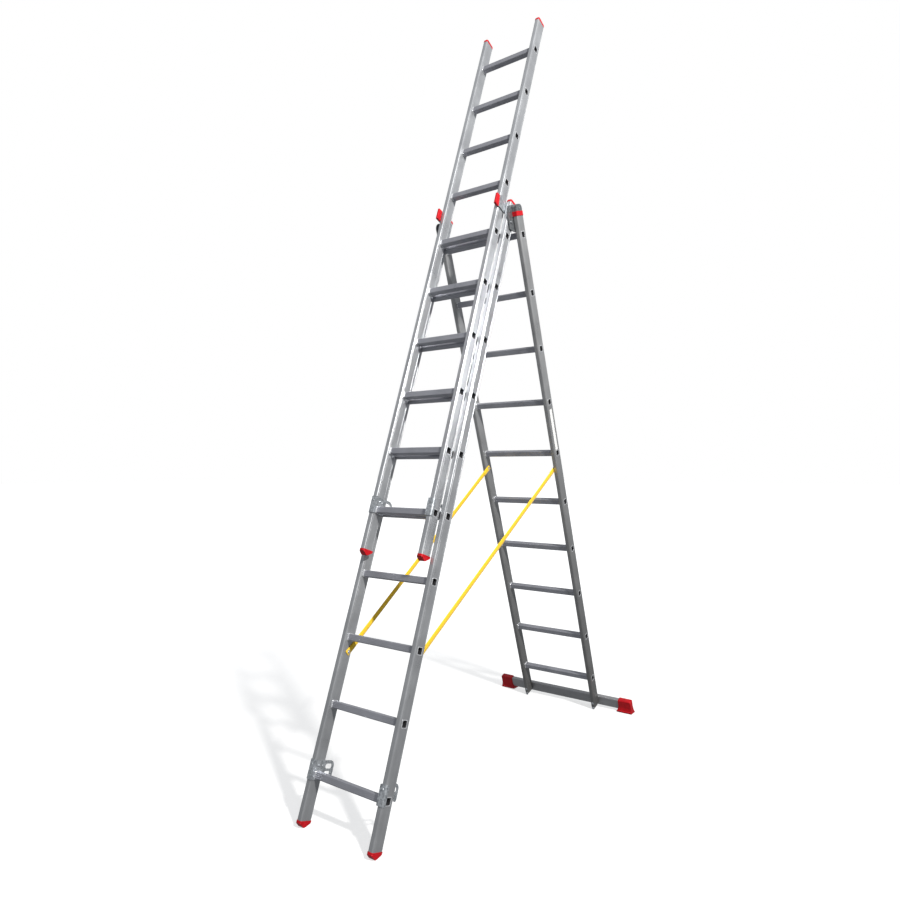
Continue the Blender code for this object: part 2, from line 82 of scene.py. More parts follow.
BAR_FRONT = NEST + STILE_D / 2 + GAP
BAR_TOP = -2.735
BAR_H = 0.058
BAR_D = 0.0255
BAR_HALF = 0.428
STRAP_LOW = -2.0975     # strap ends, along the stiles from the hinge axis
STRAP_HIGH = -1.270
STRAP_WIDTH = 0.025
STRAP_THICKNESS = 0.0016
REAR_LEAN = radians(19.3)
SIDES = {"left": -1, "right": 1}
SKY_LOW = 0.26
SKY_HIGH = 0.46

hinge = next(j for j in frame["joints"] if j["name"] == "rear_leg_hinge")
slide = next(j for j in frame["joints"] if j["name"] == "extension_slide")
PIVOT = Vector(hinge["pos_m"])
FRONT_LEAN = atan2(slide["axis"][1], slide["axis"][2])
LEANING = Matrix.Translation(PIVOT) @ Matrix.Rotation(-FRONT_LEAN, 4, "X")
MATRIX = {
    "front": LEANING,
    "extension": LEANING,
    "rear": Matrix.Translation(PIVOT) @ Matrix.Rotation(REAR_LEAN, 4, "X"),
}


# ---- materials ----
class Shader:
    """A node material with a Principled shader and short helpers to wire procedural detail into it."""

    def __init__(self, name, colour, metallic, roughness):
        self.material = bpy.data.materials.new(name)
        self.material.use_nodes = True
        self.tree = self.material.node_tree
        self.shader = self.tree.nodes["Principled BSDF"]
        self.shader.inputs["Base Color"].default_value = (*colour, 1.0)
        self.shader.inputs["Metallic"].default_value = metallic
        self.shader.inputs["Roughness"].default_value = roughness
        self.coords = self.tree.nodes.new("ShaderNodeTexCoord")
        self.height = None

    def link(self, out, into):
        self.tree.links.new(out, into)

    def mapped(self, scale, source="Object"):
        mapping = self.tree.nodes.new("ShaderNodeMapping")
        mapping.inputs["Scale"].default_value = scale
        self.link(self.coords.outputs[source], mapping.inputs["Vector"])
        return mapping.outputs["Vector"]

    def noise(self, scale, detail=3.0, stretch=(1.0, 1.0, 1.0), source="Object"):
        node = self.tree.nodes.new("ShaderNodeTexNoise")
        node.inputs["Scale"].default_value = scale
        node.inputs["Detail"].default_value = detail
        self.link(self.mapped(stretch, source), node.inputs["Vector"])
        return node.outputs["Fac"]

    def wave(self, scale, direction, stretch=(1.0, 1.0, 1.0), source="Object"):
        node = self.tree.nodes.new("ShaderNodeTexWave")
        node.wave_type = "BANDS"
        node.bands_direction = direction
        node.inputs["Scale"].default_value = scale
        self.link(self.mapped(stretch, source), node.inputs["Vector"])
        return node.outputs["Fac"]

    def ramp(self, value, low, high, out_low, out_high):
        node = self.tree.nodes.new("ShaderNodeMapRange")
        node.inputs["From Min"].default_value = low
        node.inputs["From Max"].default_value = high
        node.inputs["To Min"].default_value = out_low
        node.inputs["To Max"].default_value = out_high
        self.link(value, node.inputs["Value"])
        return node.outputs["Result"]

    def mix(self, factor, a, b, blend="MIX"):
        node = self.tree.nodes.new("ShaderNodeMix")
        node.data_type = "RGBA"
        node.blend_type = blend
        for socket, value in ((node.inputs[0], factor), (node.inputs[6], a), (node.inputs[7], b)):
            if isinstance(value, (tuple, float, int)):
                socket.default_value = (*value, 1.0) if isinstance(value, tuple) else value
            else:
                self.link(value, socket)
        return node.outputs[2]

    def add(self, a, b, operation="ADD"):
        node = self.tree.nodes.new("ShaderNodeMath")
        node.operation = operation
        for socket, value in ((node.inputs[0], a), (node.inputs[1], b)):
            if isinstance(value, (float, int)):
                socket.default_value = value
            else:
                self.link(value, socket)
        return node.outputs[0]

    def colour(self, value):
        self.link(value, self.shader.inputs["Base Color"])

    def roughness(self, value):
        self.link(value, self.shader.inputs["Roughness"])

    def bump(self, value, strength, distance):
        node = self.tree.nodes.new("ShaderNodeBump")
        node.inputs["Strength"].default_value = strength
        node.inputs["Distance"].default_value = distance
        self.link(value, node.inputs["Height"])
        if self.height is not None:
            self.link(self.height, node.inputs["Normal"])
        self.height = node.outputs["Normal"]
        self.link(self.height, self.shader.inputs["Normal"])


def aluminium(name, along, light, dark, metallic=0.62, painted_floor_shade=0.0):
    """Mill-finish extrusion: die lines, cloudy oxide, handling marks, and painted shade that darkens it
    towards the floor.
    """
    shader = Shader(name, light, metallic, 0.38)
    fine = {"Z": (1.0, 1.0, 0.004), "X": (0.004, 1.0, 1.0)}[along]
    lines = shader.noise(1500.0, 2.0, fine)
    broad = shader.noise(260.0, 2.0, fine)
    clouds = shader.noise(9.0, 4.0)
    speckle = shader.noise(900.0, 2.0)
    tone = shader.mix(shader.ramp(clouds, 0.35, 0.68, 0.0, 1.0), dark, light)
    tone = shader.mix(shader.ramp(broad, 0.35, 0.7, 0.0, 0.35), tone, tuple(0.72 * c for c in light))
    scuffs = shader.noise(60.0, 5.0, (1.0, 1.0, 0.35))
    tone = shader.mix(shader.ramp(scuffs, 0.66, 0.74, 0.0, 0.45), tone, tuple(0.55 * c for c in light))
    # painted shade: the colour is darkened towards the floor, standing in for the shade low on the ladder
    if painted_floor_shade:
        split = shader.tree.nodes.new("ShaderNodeSeparateXYZ")
        shader.link(shader.coords.outputs["Object"], split.inputs[0])
        low = shader.ramp(split.outputs["Z"], -0.9, -2.8, 0.0, painted_floor_shade)
        tone = shader.mix(low, tone, (0.24 * light[0], 0.225 * light[1], 0.205 * light[2]))
    shader.colour(tone)
    cloudy = shader.ramp(clouds, 0.3, 0.7, 0.27, 0.39)
    speckled = shader.ramp(speckle, 0.3, 0.7, -0.03, 0.03)
    shader.roughness(shader.add(cloudy, speckled))
    shader.bump(lines, 0.16, 0.0004)
    shader.bump(broad, 0.12, 0.0006)
    return shader.material


def zinc(name, painted_shade_factor=1.0):
    """Galvanised sheet: pale spangle, duller patches, slight orange peel; a factor below one darkens the
    whole sheet as painted shade.
    """
    shader = Shader(name, (0.60, 0.63, 0.65), 0.75, 0.4)
    spangle = shader.tree.nodes.new("ShaderNodeTexVoronoi")
    spangle.inputs["Scale"].default_value = 150.0
    shader.link(shader.coords.outputs["Object"], spangle.inputs["Vector"])
    grain = shader.ramp(spangle.outputs["Color"], 0.0, 1.0, 0.0, 1.0)
    dark = (0.30 * painted_shade_factor, 0.32 * painted_shade_factor, 0.34 * painted_shade_factor)
    pale = (0.68 * painted_shade_factor, 0.71 * painted_shade_factor, 0.74 * painted_shade_factor)
    tone = shader.mix(grain, dark, pale)
    stain = shader.noise(45.0, 5.0)
    tone = shader.mix(shader.ramp(stain, 0.55, 0.72, 0.0, 0.5), tone, (0.22, 0.23, 0.24))
    shader.colour(tone)
    shader.roughness(shader.ramp(stain, 0.3, 0.7, 0.3, 0.52))
    shader.bump(shader.noise(700.0, 3.0), 0.12, 0.0004)
    return shader.material


def red_plastic(name):
    """Injection-moulded plastic: fine grain, a little dust in it, soft sheen."""
    shader = Shader(name, (0.50, 0.004, 0.010), 0.0, 0.40)
    clouds = shader.noise(40.0, 4.0)
    tone = shader.mix(shader.ramp(clouds, 0.3, 0.7, 0.0, 1.0), (0.42, 0.003, 0.008), (0.58, 0.005, 0.012))
    dust = shader.noise(300.0, 4.0)
    tone = shader.mix(shader.ramp(dust, 0.6, 0.8, 0.0, 0.10), tone, (0.55, 0.16, 0.15))
    shader.colour(tone)
    shader.roughness(shader.ramp(clouds, 0.3, 0.7, 0.34, 0.48))
    shader.bump(shader.noise(1800.0, 2.0), 0.12, 0.0003)
    shader.shader.inputs["Specular IOR Level"].default_value = 0.3
    return shader.material


def webbing(name):
    """Woven band; its map runs in metres, U along the band and V across it."""
    shader = Shader(name, (0.95, 0.70, 0.01), 0.0, 0.72)
    ribs = shader.wave(160.0, "X", source="UV")
    yarns = shader.wave(220.0, "Y", source="UV")
    weave = shader.add(ribs, yarns, "MULTIPLY")
    clouds = shader.noise(30.0, 4.0)
    tone = shader.mix(shader.ramp(weave, 0.0, 0.8, 0.0, 1.0), (0.94, 0.57, 0.004), (1.0, 0.71, 0.008))
    tone = shader.mix(shader.ramp(clouds, 0.5, 0.75, 0.0, 0.25), tone, (0.74, 0.46, 0.02))
    shader.colour(tone)
    shader.roughness(shader.ramp(clouds, 0.3, 0.7, 0.62, 0.82))
    shader.bump(weave, 0.5, 0.0006)
    shader.shader.inputs["Sheen Weight"].default_value = 0.2
    return shader.material


def plain(name, colour, roughness, metallic=0.0, grain=120.0):
    """Small trim: one colour broken by faint grain."""
    shader = Shader(name, colour, metallic, roughness)
    clouds = shader.noise(grain, 4.0)
    darker = tuple(0.86 * c for c in colour)
    shader.colour(shader.mix(shader.ramp(clouds, 0.3, 0.7, 0.0, 1.0), darker, colour))
    shader.roughness(shader.ramp(clouds, 0.3, 0.7, roughness - 0.06, roughness + 0.06))
    shader.bump(shader.noise(900.0, 2.0), 0.08, 0.0003)
    return shader.material


# the last argument sets how much painted shade darkens the stiles towards the floor
STILE_METAL = aluminium("stile_aluminium", "Z", (0.55, 0.565, 0.585), (0.44, 0.45, 0.47), painted_floor_shade=0.30)
# painted shade: the rear stiles take a darker copy of the stile aluminium, with stronger darkening towards
# the floor, for the shade they stand in
SHADED_REAR_METAL = aluminium("rear_stile_aluminium_painted_shade", "Z", (0.46, 0.465, 0.47), (0.37, 0.375, 0.38), painted_floor_shade=0.70)
RUNG_METAL = aluminium("rung_aluminium", "X", (0.43, 0.435, 0.475), (0.35, 0.355, 0.39))
# painted shade: the rung bores are near black, for the shade inside the tubes
RUNG_BORE_SHADE = plain("rung_bore_painted_shade", (0.03, 0.03, 0.033), 0.7)
BAR_METAL = aluminium("bar_aluminium", "X", (0.44, 0.44, 0.45), (0.36, 0.36, 0.37))
ZINC = zinc("zinc_sheet")
# painted shade: the hinge plates take a darker copy of the zinc, for the shade on the inner webs
SHADED_HINGE_ZINC = zinc("hinge_zinc_painted_shade", 0.45)
# painted highlight: the swaged lips and beads are near white, for the bright glints at the rung ends
SWAGE_HIGHLIGHT = plain("swage_aluminium_painted_highlight", (0.86, 0.87, 0.89), 0.28, 0.7)
RED = red_plastic("red_moulding")
YELLOW = webbing("strap_webbing")
THREAD = plain("strap_thread", (0.30, 0.22, 0.03), 0.8)
RIVET = plain("rivet_aluminium", (0.80, 0.81, 0.83), 0.3, 0.85)
LABEL = plain("label_film", (0.90, 0.90, 0.88), 0.35)


# ---- shapes ----
def arc(cx, cy, radius, start, end, steps):
    angles = [radians(start + (end - start) * i / steps) for i in range(steps + 1)]
    return [(cx + radius * cos(a), cy + radius * sin(a)) for a in angles]


def rounded(width, depth, front, back, front_steps=8, back_steps=4):
    """Anticlockwise outline with rounded corners, its front at -y."""
    x = width / 2
    y = depth / 2
    points = arc(-x + front, -y + front, front, 180, 270, front_steps)
    points += arc(x - front, -y + front, front, 270, 360, front_steps)
    points += arc(x - back, y - back, back, 0, 90, back_steps)
    points += arc(-x + back, y - back, back, 90, 180, back_steps)
    return points


def loft(bm, rings, closed=False):
    """Skin equal rings into a body: flat ends, or joined last to first when closed."""
    loops = [[bm.verts.new(point) for point in ring] for ring in rings]
    pairs = list(zip(loops, loops[1:]))
    if closed:
        pairs.append((loops[-1], loops[0]))
    count = len(loops[0])
    for lower, upper in pairs:
        for i in range(count):
            j = (i + 1) % count
            bm.faces.new((lower[i], lower[j], upper[j], upper[i]))
    if not closed:
        bm.faces.new(list(reversed(loops[0])))
        bm.faces.new(loops[-1])


def tube(bm, outer, inner, low, high, along):
    """Open tube: outlines in the plane across it, low and high along it ("x" or "z")."""
    def place(point, t):
        return (t, point[0], point[1]) if along == "x" else (point[0], point[1], t)

    rings = [
        [place(p, low) for p in outer], [place(p, high) for p in outer],
        [place(p, high) for p in inner], [place(p, low) for p in inner],
    ]
    loft(bm, rings, closed=True)


def plate(bm, outline, x_low, x_high):
    loft(bm, [[(x, y, z) for y, z in outline] for x in (x_low, x_high)])


def dome(bm, centre, axis, radius, height, flange=None):
    """Rivet or bolt head: a low dome on a thin washer, pointing along an axis."""
    axis = Vector(axis).normalized()
    side = axis.orthogonal().normalized()
    other = axis.cross(side)
    centre = Vector(centre)
    profile = [(radius, 0.0), (radius, height * 0.25)]
    profile += [(radius * cos(radians(a)), height * (0.25 + 0.75 * sin(radians(a)))) for a in (25, 50, 72)]
    if flange:
        profile = [(flange, 0.0), (flange, height * 0.15), *profile[1:]]
    turns = [2 * pi * i / 24 for i in range(24)]
    rings = [[centre + axis * h + (side * cos(t) + other * sin(t)) * r for t in turns] for r, h in profile]
    loft(bm, rings)


def hexagon(bm, centre, axis, across, height):
    axis = Vector(axis).normalized()
    side = axis.orthogonal().normalized()
    other = axis.cross(side)
    centre = Vector(centre)
    corner = across / 3 ** 0.5
    profile = [(corner, 0.0), (corner, height * 0.8), (corner * 0.86, height)]
    turns = [pi * i / 3 for i in range(6)]
    rings = [[centre + axis * h + (side * cos(t) + other * sin(t)) * r for t in turns] for r, h in profile]
    loft(bm, rings)


def new_object(name, bm, material, angle=35.0):
    """Smooth-shaded object with sharp edges above an angle; frees the bmesh."""
    bmesh.ops.recalc_face_normals(bm, faces=bm.faces)
    mesh = bpy.data.meshes.new(name)
    bm.to_mesh(mesh)
    bm.free()
    mesh.materials.append(material)
    mesh.shade_smooth()
    mesh.set_sharp_from_angle(angle=radians(angle))
    thing = bpy.data.objects.new(name, mesh)
    bpy.context.scene.collection.objects.link(thing)
    return thing


def piece(name, bm, section, material, nodes=(), bevel=0.0, angle=35.0):
    """Turn a mesh drawn in a section's frame into an object that rides on that section's body."""
    thing = new_object(name, bm, material, angle)
    thing.matrix_world = MATRIX[section]
    if bevel:
        modifier = thing.modifiers.new("edges", "BEVEL")
        modifier.width = bevel
        modifier.segments = 2
        modifier.limit_method = "ANGLE"
        modifier.angle_limit = radians(angle)
        modifier.harden_normals = False
    weighted = thing.modifiers.new("normals", "WEIGHTED_NORMAL")
    weighted.keep_sharp = True
    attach(thing, section)
    if nodes:
        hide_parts(*nodes)
    return thing


def mirrored(bm, side):
    if side < 0:
        bmesh.ops.scale(bm, vec=Vector((-1.0, 1.0, 1.0)), verts=bm.verts)


def drilled(bm, cutter_bm):
    """The first body with the second cut out of it."""
    things = []
    for name, source in (("solid", bm), ("cutter", cutter_bm)):
        bmesh.ops.recalc_face_normals(source, faces=source.faces)
        mesh = bpy.data.meshes.new(name)
        source.to_mesh(mesh)
        source.free()
        things.append(bpy.data.objects.new(name, mesh))
        bpy.context.scene.collection.objects.link(things[-1])
    solid, cutter = things
    modifier = solid.modifiers.new("cut", "BOOLEAN")
    modifier.object = cutter
    modifier.operation = "DIFFERENCE"
    modifier.solver = "EXACT"
    bpy.context.view_layer.update()
    evaluated = solid.evaluated_get(bpy.context.evaluated_depsgraph_get())
    result = bmesh.new()
    result.from_mesh(evaluated.to_mesh())
    evaluated.to_mesh_clear()
    for thing in things:
        bpy.data.objects.remove(thing)
    return result


def rung_heights(section):
    return [FIRST[section] - i * PITCH for i in range(RUNGS)]


# ---- stiles ----
def grooved(points, marks, depth, half):
    """Cut shallow grooves into the long sides of an outline at the given y positions."""
    result = []
    for i, (x, y) in enumerate(points):
        nx, ny = points[(i + 1) % len(points)]
        result.append((x, y))
        if abs(nx - x) < 1e-9 and abs(ny - y) > 0.01:
            inward = -1 if x > 0 else 1
            order = sorted(marks, reverse=ny < y)
            step = 1 if ny > y else -1
            for mark in order:
                result += [
                    (x, mark - step * half), (x + inward * depth, mark - step * half * 0.4),
                    (x + inward * depth, mark + step * half * 0.4), (x, mark + step * half),
                ]
    return result


def stile(section, word, side):
    """Hollow grooved extrusion with a square hole through both webs at each rung."""
    low = rung_heights(section)[-1] - BELOW[section]
    high = FIRST[section] + ABOVE[section]
    outer = grooved(rounded(STILE_W, STILE_D, 0.0075, 0.003), GROOVES, 0.0005, 0.0009)
    hollow = rounded(STILE_W - 2 * WALL, STILE_D - 2 * WALL, 0.0057, 0.0014)
    inner = grooved(hollow, GROOVES, -0.0001, 0.0009)
    centre = side * (WIDTH[section] - STILE_W) / 2
    mid = OFFSET[section]
    outer = [(x + centre, y + mid) for x, y in outer]
    inner = [(x + centre, y + mid) for x, y in inner]
    bm = bmesh.new()
    tube(bm, outer, inner, low, high, "z")
    holes = bmesh.new()
    hole = rounded(RUNG + 0.0004, RUNG + 0.0004, 0.0042, 0.0042, 4, 4)
    for height in rung_heights(section):
        plate(holes, [(y + mid, z + height) for y, z in hole], centre - 0.03, centre + 0.03)
    result = drilled(bm, holes)
    # the rear stiles take the darker aluminium that carries painted shade
    metal = SHADED_REAR_METAL if section == "rear" else STILE_METAL
    return piece(f"{section}_stile_{word}_look", result, section, metal, [f"{section}_stile_{word}"])


# ---- rungs ----
def rung_outline():
    """Square tube with anti-slip ribs on top, shallow flutes on its other faces; (y, z), top at +z."""
    half = RUNG / 2
    radius = 0.0042
    rib = 0.0007
    points = []
    for turn, ribbed in ((0, False), (90, True), (180, False), (270, False)):
        a = radians(turn)
        local = arc(half - radius, -half + radius, radius, -45, 0, 3)
        count = 5 if ribbed else 3
        span = 2 * (half - radius) - 0.001
        for i in range(count):
            centre = -span / 2 + span * (i + 0.5) / count
            step = span / count
            if ribbed:
                local += [
                    (half, centre - step * 0.30), (half + rib, centre - step * 0.16),
                    (half + rib, centre + step * 0.16), (half, centre + step * 0.30),
                ]
            else:
                local += [
                    (half, centre - step * 0.16), (half - rib * 0.6, centre - step * 0.08),
                    (half - rib * 0.6, centre + step * 0.08), (half, centre + step * 0.16),
                ]
        local += arc(half - radius, half - radius, radius, 0, 45, 3)[:-1]
        points += [(u * cos(a) - v * sin(a), u * sin(a) + v * cos(a)) for u, v in local]
    return points


def scaled(points, factor):
    return [(u * factor, v * factor) for u, v in points]


def rung(section, number, height):
    """Square tube with a near-black bore as painted shade, swaged in both stiles: an outer lip and an inner
    bead at each end, brightened as painted highlights.
    """
    half = WIDTH[section] / 2
    mid = OFFSET[section]
    shape = rung_outline()
    bore = scaled(shape, 1 - 2 * RUNG_WALL / RUNG)

    def at(points, factor=1.0):
        return [(u * factor + mid, v * factor + height) for u, v in points]

    bm = bmesh.new()
    tube(bm, at(shape), at(bore), -half, half, "x")
    corner = 0.0046
    flat = RUNG / 2 - corner
    # the bore faces take the near-black material: painted shade inside the tube
    for face in bm.faces:
        spot = face.calc_center_median()
        over = Vector((max(abs(spot.y - mid) - flat, 0.0), max(abs(spot.z - height) - flat, 0.0)))
        if abs(spot.x) < half - 0.001 and over.length < corner - 0.00115:
            face.material_index = 1
    tube_faces = set(bm.faces)
    square = rounded(RUNG, RUNG, corner, corner, 5, 5)
    for side in (-1, 1):
        lip = [(0.0, 1.0), (0.0, 1.17), (0.0006, 1.17), (0.0011, 1.10), (0.0010, 0.96), (0.0, 0.935)]
        rings = [[(side * (half + dx), u, v) for u, v in at(square, k)] for dx, k in lip]
        loft(bm, rings, closed=True)
        web = half - STILE_W
        bead = [(0.0, 1.02), (0.0, 1.13), (0.0016, 1.16), (0.0034, 1.14), (0.0048, 1.08), (0.0056, 1.0)]
        rings = [[(side * (web - dx), u, v) for u, v in at(square, k)] for dx, k in bead]
        loft(bm, rings)
    # the lips and beads take the near-white material: painted highlight
    for face in bm.faces:
        if face not in tube_faces:
            face.material_index = 2
    name = f"{section}_rung_{number:02d}"
    thing = piece(name + "_look", bm, section, RUNG_METAL, [name])
    thing.data.materials.append(RUNG_BORE_SHADE)
    thing.data.materials.append(SWAGE_HIGHLIGHT)
    return thing


# ---- caps and feet ----
def stile_outline(grow, mid=0.0, centre=0.0):
    points = rounded(STILE_W + 2 * grow, STILE_D + 2 * grow, 0.0075 + grow, 0.003 + max(grow, -0.002))
    return [(x + centre, y + mid) for x, y in points]


def top_cap(section, word, side):
    """Low moulded cap pressed into the stile's upper end."""
    centre = side * (WIDTH[section] - STILE_W) / 2
    mid = OFFSET[section]
    end = FIRST[section] + ABOVE[section]
    bm = bmesh.new()
    profile = [
        (-WALL - GAP, -0.02), (-WALL - GAP, 0.0002), (0.0004, 0.0002), (0.0008, 0.0008),
        (0.0008, 0.0100), (0.0003, CAP_COLLAR),
    ]
    rings = []
    for grow, z in profile:
        rings.append([(x, y, end + z) for x, y in stile_outline(grow, mid, centre)])
    base = stile_outline(0.0002)
    for turn in (12, 26, 42, 58, 72, 84):
        shrink = cos(radians(turn))
        flat = 0.35 + 0.65 * shrink
        z = end + CAP_COLLAR + CAP_DOME * sin(radians(turn))
        rings.append([(x * flat + centre, y * shrink + mid, z) for x, y in base])
    loft(bm, rings)
    name = f"{section}_top_cap_{word}"
    return piece(name + "_look", bm, section, RED, [name], angle=50)


def slice_off(bm, point, normal):
    """Remove what lies on the normal's side of a plane and close the cut."""
    geometry = bm.verts[:] + bm.edges[:] + bm.faces[:]
    cut = bmesh.ops.bisect_plane(bm, geom=geometry, plane_co=point, plane_no=normal, clear_outer=True)
    edges = [part for part in cut["geom_cut"] if isinstance(part, bmesh.types.BMEdge)]
    bmesh.ops.contextual_create(bm, geom=edges)


def bottom_cap(section, side, node):
    """Collared cap under a stile with a blunt ridge; the front leg's ridge is flattened by the floor."""
    centre = side * (WIDTH[section] - STILE_W) / 2
    mid = OFFSET[section]
    end = rung_heights(section)[-1] - BELOW[section]
    collar = FOOT_COLLAR
    bm = bmesh.new()
    profile = [
        (-WALL - GAP, 0.02), (-WALL - GAP, -0.0002), (collar - 0.0004, -0.0002), (collar, -0.0006),
        (collar, -0.0050), (collar - 0.0005, -0.0055), (collar - 0.0005, -0.0062), (collar, -0.0067),
        (collar, -FOOT_DEPTH),
    ]
    loft(bm, [[(x, y, end + z) for x, y in stile_outline(grow, mid, centre)] for grow, z in profile])
    ridge = Vector((0.0, mid - 0.004, end - 0.016))
    for turn in range(-35, 31, 5):
        normal = Vector((0.0, sin(radians(turn)), -cos(radians(turn))))
        slice_off(bm, ridge + normal * FOOT_RIDGE_RADIUS, normal)
    if section == "front":
        place = MATRIX[section].inverted()
        down = (place.to_3x3() @ Vector((0.0, 0.0, -1.0))).normalized()
        slice_off(bm, place @ Vector((0.0, 0.0, 0.0)), down)
    return piece(f"{node}_look", bm, section, RED, [node], bevel=0.0009, angle=35)


def rear_cap(word, side):
    """Moulded band round the rear stile's top, open on the inner side."""
    outer_x = WIDTH["rear"] / 2
    inner_x = outer_x - STILE_W
    end = FIRST["rear"] + ABOVE["rear"]
    front = NEST - STILE_D / 2
    back = NEST + STILE_D / 2
    wall = 0.0024
    outside = [(inner_x + GAP, front - wall)]
    outside += arc(outer_x - 0.005, front - wall + 0.0074, 0.0074, 270, 360, 6)
    outside += arc(outer_x - 0.003, back - 0.003, 0.0054, 0, 90, 4)
    outside += [(inner_x + GAP, back + wall)]
    bm = bmesh.new()
    low = end - 0.012
    high = end + 0.010
    rings = []
    for grow, z in ((-0.0006, low), (0.0, low + 0.0006), (0.0, high - 0.0008), (-0.0008, high)):
        middle_x = (inner_x + outer_x) / 2
        ring = []
        for x, y in outside:
            dx = grow if x > middle_x else 0.0
            dy = grow if y > NEST else -grow
            ring.append((x + dx, y + dy, z))
        rings.append(ring)
    loft(bm, rings)
    mirrored(bm, side)
    return piece(f"rear_cap_{word}_look", bm, "rear", RED, [f"rear_cap_{word}"], bevel=0.0006)


# ---- steelwork ----
def hook_outline():
    """Side view of a hook plate, (y, z) from its own rung's centre."""
    front = -STILE_D / 2 - 0.0033
    slot_half = (RUNG + 0.002) / 2
    slot_top = RUNG / 2 + 0.0008
    reach = 0.0835
    tip = -0.011
    corner = 0.004
    points = [(front, -HOOK_BELOW), (NEST - slot_half - 0.006, -HOOK_BELOW)]
    points += arc(NEST - slot_half - 0.005, -HOOK_BELOW + 0.005, 0.005, 270, 360, 4)[1:]
    points += arc(NEST - slot_half + corner, slot_top - corner, corner, 180, 90, 5)
    points += arc(NEST + slot_half - corner, slot_top - corner, corner, 90, 0, 5)
    prong = reach - NEST - slot_half
    points += arc(NEST + slot_half + prong / 2, tip + prong / 2, prong / 2, 180, 360, 10)
    points += arc(reach - 0.024, HOOK_ABOVE - 0.024, 0.024, 0, 90, 10)
    points += [(front, HOOK_ABOVE)]
    return points


def hook(section, word, side):
    """Bracket bent round the stile's front; its inner cheek ends in a hook over the next section's rung."""
    outer_x = WIDTH[section] / 2
    inner_x = outer_x - STILE_W
    mid = OFFSET[section]
    height = rung_heights(section)[-1]
    front = -STILE_D / 2 - GAP
    web_in = inner_x - GAP
    web_out = outer_x + GAP
    cheek = bmesh.new()
    outline = [(y + mid, z + height) for y, z in hook_outline()]
    plate(cheek, outline, web_in - PLATE, web_in)
    eye = bmesh.new()
    outline = arc(mid + 0.062, height + 0.0345, 0.010, -90, 90, 12)
    outline += arc(mid + 0.044, height + 0.0345, 0.010, 90, 270, 12)
    plate(eye, outline, inner_x - 0.02, inner_x + 0.01)
    bm = drilled(cheek, eye)
    path_out = [(web_in - PLATE, front + 0.004)]
    path_out += arc(web_in - PLATE + 0.0075, front - PLATE + 0.0075, 0.0075, 180, 270, 6)
    path_out += arc(web_out + PLATE - 0.0095, front - PLATE + 0.0095, 0.0095, 270, 360, 8)
    path_out += [(web_out + PLATE, front + 0.0145)]
    path_in = [(web_out, front + 0.0145)]
    path_in += arc(web_out - 0.0065, front + 0.0065, 0.0065, 360, 270, 8)
    path_in += arc(web_in + 0.0045, front + 0.0045, 0.0045, 270, 180, 6)
    path_in += [(web_in, front + 0.005)]
    ring = [(x, y + mid) for x, y in path_out + path_in]
    loft(bm, [[(x, y, z) for x, y in ring] for z in (height - HOOK_BELOW, height + HOOK_ABOVE)])
    for y in (-0.004, 0.016):
        dome(bm, (web_in - PLATE, mid + y, height + 0.036), (-1, 0, 0), 0.0045, 0.0026, 0.0062)
    centre = (inner_x + STILE_W / 2, mid + front - PLATE, height + 0.040)
    dome(bm, centre, (0, -1, 0), 0.0045, 0.0024, 0.0060)
    mirrored(bm, side)
    name = f"{section}_hook_{word}"
    return piece(name + "_look", bm, section, ZINC, [name], bevel=0.0005)


def guide(word, side):
    """Bracket at the front section's top: it runs past the extension's stile and grips its front face."""
    first = FIRST["front"]
    web = WIDTH["front"] / 2 - STILE_W - GAP
    stile_front = -STILE_D / 2
    pad_back = -NEST - STILE_D / 2 - 0.0035
    bottom = first + 0.035
    arm_low = first + 0.120
    arm_high = first + 0.194
    stile_top = first + ABOVE["front"] - 0.001
    outline = [(0.022, bottom + 0.004), (0.022, stile_top), (stile_front - 0.0025, stile_top)]
    outline += [(stile_front - 0.0025, arm_high - 0.012)]
    outline += arc(pad_back + 0.006, arm_high - 0.022, 0.010, 90, 180, 5)
    outline += arc(pad_back + 0.006, arm_low + 0.004, 0.004, 180, 270, 4)
    outline += arc(stile_front - 0.002, arm_low - 0.020, 0.020, 90, 20, 6)
    outline += [(-0.008, bottom + 0.012)]
    outline += arc(0.000, bottom + 0.008, 0.008, 180, 270, 4)[1:]
    outline += [(0.018, bottom)]
    bm = bmesh.new()
    plate(bm, outline, web - PLATE, web)
    for y, z in ((0.008, first + 0.058), (0.008, first + 0.165), (-0.018, first + 0.150)):
        dome(bm, (web - PLATE, y, z), (-1, 0, 0), 0.0045, 0.0018, 0.0060)
    mirrored(bm, side)
    steel = piece(f"front_guide_{word}_look", bm, "front", ZINC, [f"front_guide_{word}"], bevel=0.0005)
    inner = WIDTH["extension"] / 2 - 0.007
    outer = web - 0.0012
    nose_front = pad_back - NOSE_DEPTH
    ring = arc(inner + 0.003, nose_front + 0.003, 0.003, 180, 270, 5)
    ring += arc(outer - 0.003, nose_front + 0.003, 0.003, 270, 360, 5)
    step = web - PLATE - 0.0001
    ring += [(outer, pad_back + 0.004), (step, pad_back + 0.004), (step, pad_back), (inner, pad_back)]
    low = arm_low - 0.002
    high = arm_high - 0.019
    centre_x = sum(x for x, y in ring) / len(ring)
    centre_y = sum(y for x, y in ring) / len(ring)

    def shrunk(k, z):
        return [(centre_x + (x - centre_x) * k, centre_y + (y - centre_y) * k, z) for x, y in ring]

    pad = bmesh.new()
    loft(pad, [shrunk(1, low), shrunk(1, high)])
    mirrored(pad, side)
    piece(f"front_guide_pad_{word}", pad, "front", RED, bevel=0.0014)
    return steel


